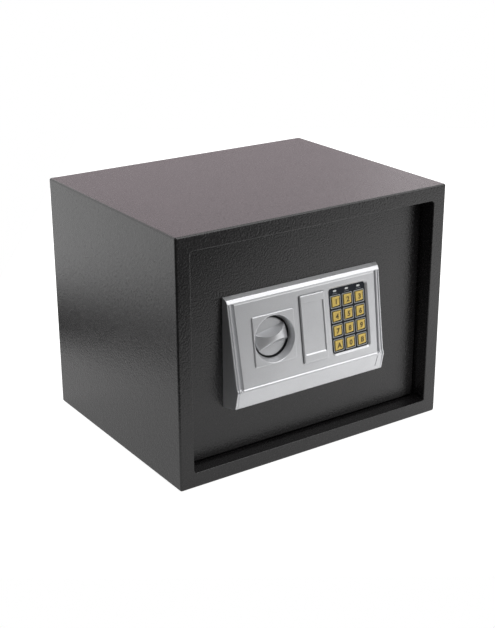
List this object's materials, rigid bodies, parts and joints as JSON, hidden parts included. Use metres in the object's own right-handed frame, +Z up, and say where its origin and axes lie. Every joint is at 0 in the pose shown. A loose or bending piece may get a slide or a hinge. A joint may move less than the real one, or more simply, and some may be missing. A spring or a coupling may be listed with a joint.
{
  "type": "in room safe",
  "caption": "Compact steel room safe with a hinged front door, slanted electronic keypad panel, turning bolt knob and a covered override lock.",
  "frame": {"origin": "centre of the underside of the box", "axes": "+X to the right seen from the front, -Y out of the door, +Z up"},
  "size_m": [0.38, 0.3001, 0.3],
  "materials": {
    "black_steel": "fine-textured powder coat, satin",
    "carpet": "cut pile needle felt",
    "silver_plastic": "silver metallic lacquer on moulded ABS",
    "black_plastic": "satin moulded",
    "gold_key": "gold lacquer, satin",
    "indicator": "milky clear light guide",
    "circuit_board": "green solder mask",
    "lead_insulation": "smooth insulation",
    "lock_chrome": "polished",
    "lock_brass": "turned",
    "zinc_plate": "zinc plated",
    "bright_steel": "turned bright steel",
    "coil_tape": "amber winding tape",
    "battery_skin": "shrink sleeve",
    "reset_red": "moulded"
  },
  "bodies": {
    "carcass": {"body_shell": "black_steel", "front_frame": "black_steel", "back_panel": "black_steel", "floor_mat": "carpet", "upper_hinge_bracket": "black_steel", "lower_hinge_bracket": "black_steel", "upper_door_stop": "black_steel", "lower_door_stop": "black_steel"},
    "door": {"door_plate": "black_steel", "upper_hinge_saddle": "black_steel", "lower_hinge_saddle": "black_steel", "upper_hinge_pin": "bright_steel", "lower_hinge_pin": "bright_steel", "fascia_housing": "silver_plastic", "keypad_plate": "black_plastic", "indicator_lens": "indicator", "keypad_pcb": "circuit_board", "keypad_cable": "lead_insulation", "override_lock_barrel": "lock_chrome", "lock_chassis": "zinc_plate", "rear_cover": "black_steel", "battery_holder": "black_plastic", "battery_1": "battery_skin", "battery_2": "battery_skin", "battery_3": "battery_skin", "battery_4": "battery_skin", "battery_leads": "lead_insulation", "control_board": "circuit_board", "solenoid_frame": "zinc_plate", "solenoid_coil": "coil_tape", "solenoid_spring": "bright_steel", "solenoid_leads": "lead_insulation", "fascia_screw_1": "zinc_plate", "fascia_screw_2": "zinc_plate", "fascia_screw_3": "zinc_plate", "fascia_screw_4": "zinc_plate", "rear_cover_screw_1": "zinc_plate", "rear_cover_screw_2": "zinc_plate"},
    "knob": {"knob": "silver_plastic"},
    "spindle": {"drive_spindle": "bright_steel"},
    "bolt_carriage": {"bolt_bar": "zinc_plate", "upper_bolt": "bright_steel", "lower_bolt": "bright_steel"},
    "override_cover": {"override_cover": "silver_plastic"},
    "lock_plug": {"override_lock_plug": "lock_brass"},
    "plunger": {"solenoid_plunger": "bright_steel"},
    "battery_lid": {"battery_cover": "black_plastic"},
    "reset_button": {"reset_button": "reset_red"},
    "key_1": {"key_1": "gold_key"},
    "key_2": {"key_2": "gold_key"},
    "key_3": {"key_3": "gold_key"},
    "key_4": {"key_4": "gold_key"},
    "key_5": {"key_5": "gold_key"},
    "key_6": {"key_6": "gold_key"},
    "key_7": {"key_7": "gold_key"},
    "key_8": {"key_8": "gold_key"},
    "key_9": {"key_9": "gold_key"},
    "key_a": {"key_a": "gold_key"},
    "key_0": {"key_0": "gold_key"},
    "key_b": {"key_b": "gold_key"}
  },
  "joints": [
    {"name": "door_hinge", "type": "hinge", "parent": "carcass", "child": "door", "pos_m": [-0.1615, -0.1212, 0.15], "axis": [0, 0, -1], "range_deg": [0, 95]},
    {"name": "knob_turn", "type": "hinge", "parent": "door", "child": "knob", "pos_m": [-0.059, -0.12687, 0.15421], "axis": [0, 0.9879, -0.1548], "range_deg": [0, 90]},
    {"name": "spindle_turn", "type": "hinge", "parent": "door", "child": "spindle", "pos_m": [-0.059, -0.12687, 0.15421], "axis": [0, 1, 0], "range_deg": [0, 90]},
    {"name": "bolt_slide", "type": "slide", "parent": "door", "child": "bolt_carriage", "axis": [1, 0, 0], "range_m": [0, 0.016]},
    {"name": "override_cover_pull", "type": "slide", "parent": "door", "child": "override_cover", "axis": [0, -0.9879, 0.1548], "range_m": [0, 0.03]},
    {"name": "override_lock_turn", "type": "hinge", "parent": "door", "child": "lock_plug", "pos_m": [-0.0027, -0.1186, 0.1567], "axis": [0, 1, 0], "range_deg": [0, 90]},
    {"name": "plunger_lift", "type": "slide", "parent": "door", "child": "plunger", "axis": [0, 0, 1], "range_m": [0, 0.004], "deforming": ["solenoid_spring"]},
    {"name": "battery_cover_slide", "type": "slide", "parent": "door", "child": "battery_lid", "axis": [0, 0, -1], "range_m": [0, 0.04]},
    {"name": "reset_button_press", "type": "slide", "parent": "door", "child": "reset_button", "axis": [0, -1, 0], "range_m": [0, 0.0015], "stiffness_N_per_m": 400},
    {"name": "key_1_press", "type": "slide", "parent": "door", "child": "key_1", "axis": [0, 0.9879, -0.1548], "range_m": [0, 0.0008], "stiffness_N_per_m": 600},
    {"name": "key_2_press", "type": "slide", "parent": "door", "child": "key_2", "axis": [0, 0.9879, -0.1548], "range_m": [0, 0.0008], "stiffness_N_per_m": 600},
    {"name": "key_3_press", "type": "slide", "parent": "door", "child": "key_3", "axis": [0, 0.9879, -0.1548], "range_m": [0, 0.0008], "stiffness_N_per_m": 600},
    {"name": "key_4_press", "type": "slide", "parent": "door", "child": "key_4", "axis": [0, 0.9879, -0.1548], "range_m": [0, 0.0008], "stiffness_N_per_m": 600},
    {"name": "key_5_press", "type": "slide", "parent": "door", "child": "key_5", "axis": [0, 0.9879, -0.1548], "range_m": [0, 0.0008], "stiffness_N_per_m": 600},
    {"name": "key_6_press", "type": "slide", "parent": "door", "child": "key_6", "axis": [0, 0.9879, -0.1548], "range_m": [0, 0.0008], "stiffness_N_per_m": 600},
    {"name": "key_7_press", "type": "slide", "parent": "door", "child": "key_7", "axis": [0, 0.9879, -0.1548], "range_m": [0, 0.0008], "stiffness_N_per_m": 600},
    {"name": "key_8_press", "type": "slide", "parent": "door", "child": "key_8", "axis": [0, 0.9879, -0.1548], "range_m": [0, 0.0008], "stiffness_N_per_m": 600},
    {"name": "key_9_press", "type": "slide", "parent": "door", "child": "key_9", "axis": [0, 0.9879, -0.1548], "range_m": [0, 0.0008], "stiffness_N_per_m": 600},
    {"name": "key_a_press", "type": "slide", "parent": "door", "child": "key_a", "axis": [0, 0.9879, -0.1548], "range_m": [0, 0.0008], "stiffness_N_per_m": 600},
    {"name": "key_0_press", "type": "slide", "parent": "door", "child": "key_0", "axis": [0, 0.9879, -0.1548], "range_m": [0, 0.0008], "stiffness_N_per_m": 600},
    {"name": "key_b_press", "type": "slide", "parent": "door", "child": "key_b", "axis": [0, 0.9879, -0.1548], "range_m": [0, 0.0008], "stiffness_N_per_m": 600}
  ],
  "couplings": [
    {"joint": "knob_turn", "follows": "bolt_slide", "rad_per_m": 98.17},
    {"joint": "spindle_turn", "follows": "bolt_slide", "rad_per_m": 98.17},
    {"joint": "override_lock_turn", "follows": "plunger_lift", "rad_per_m": 392.69}
  ]
}
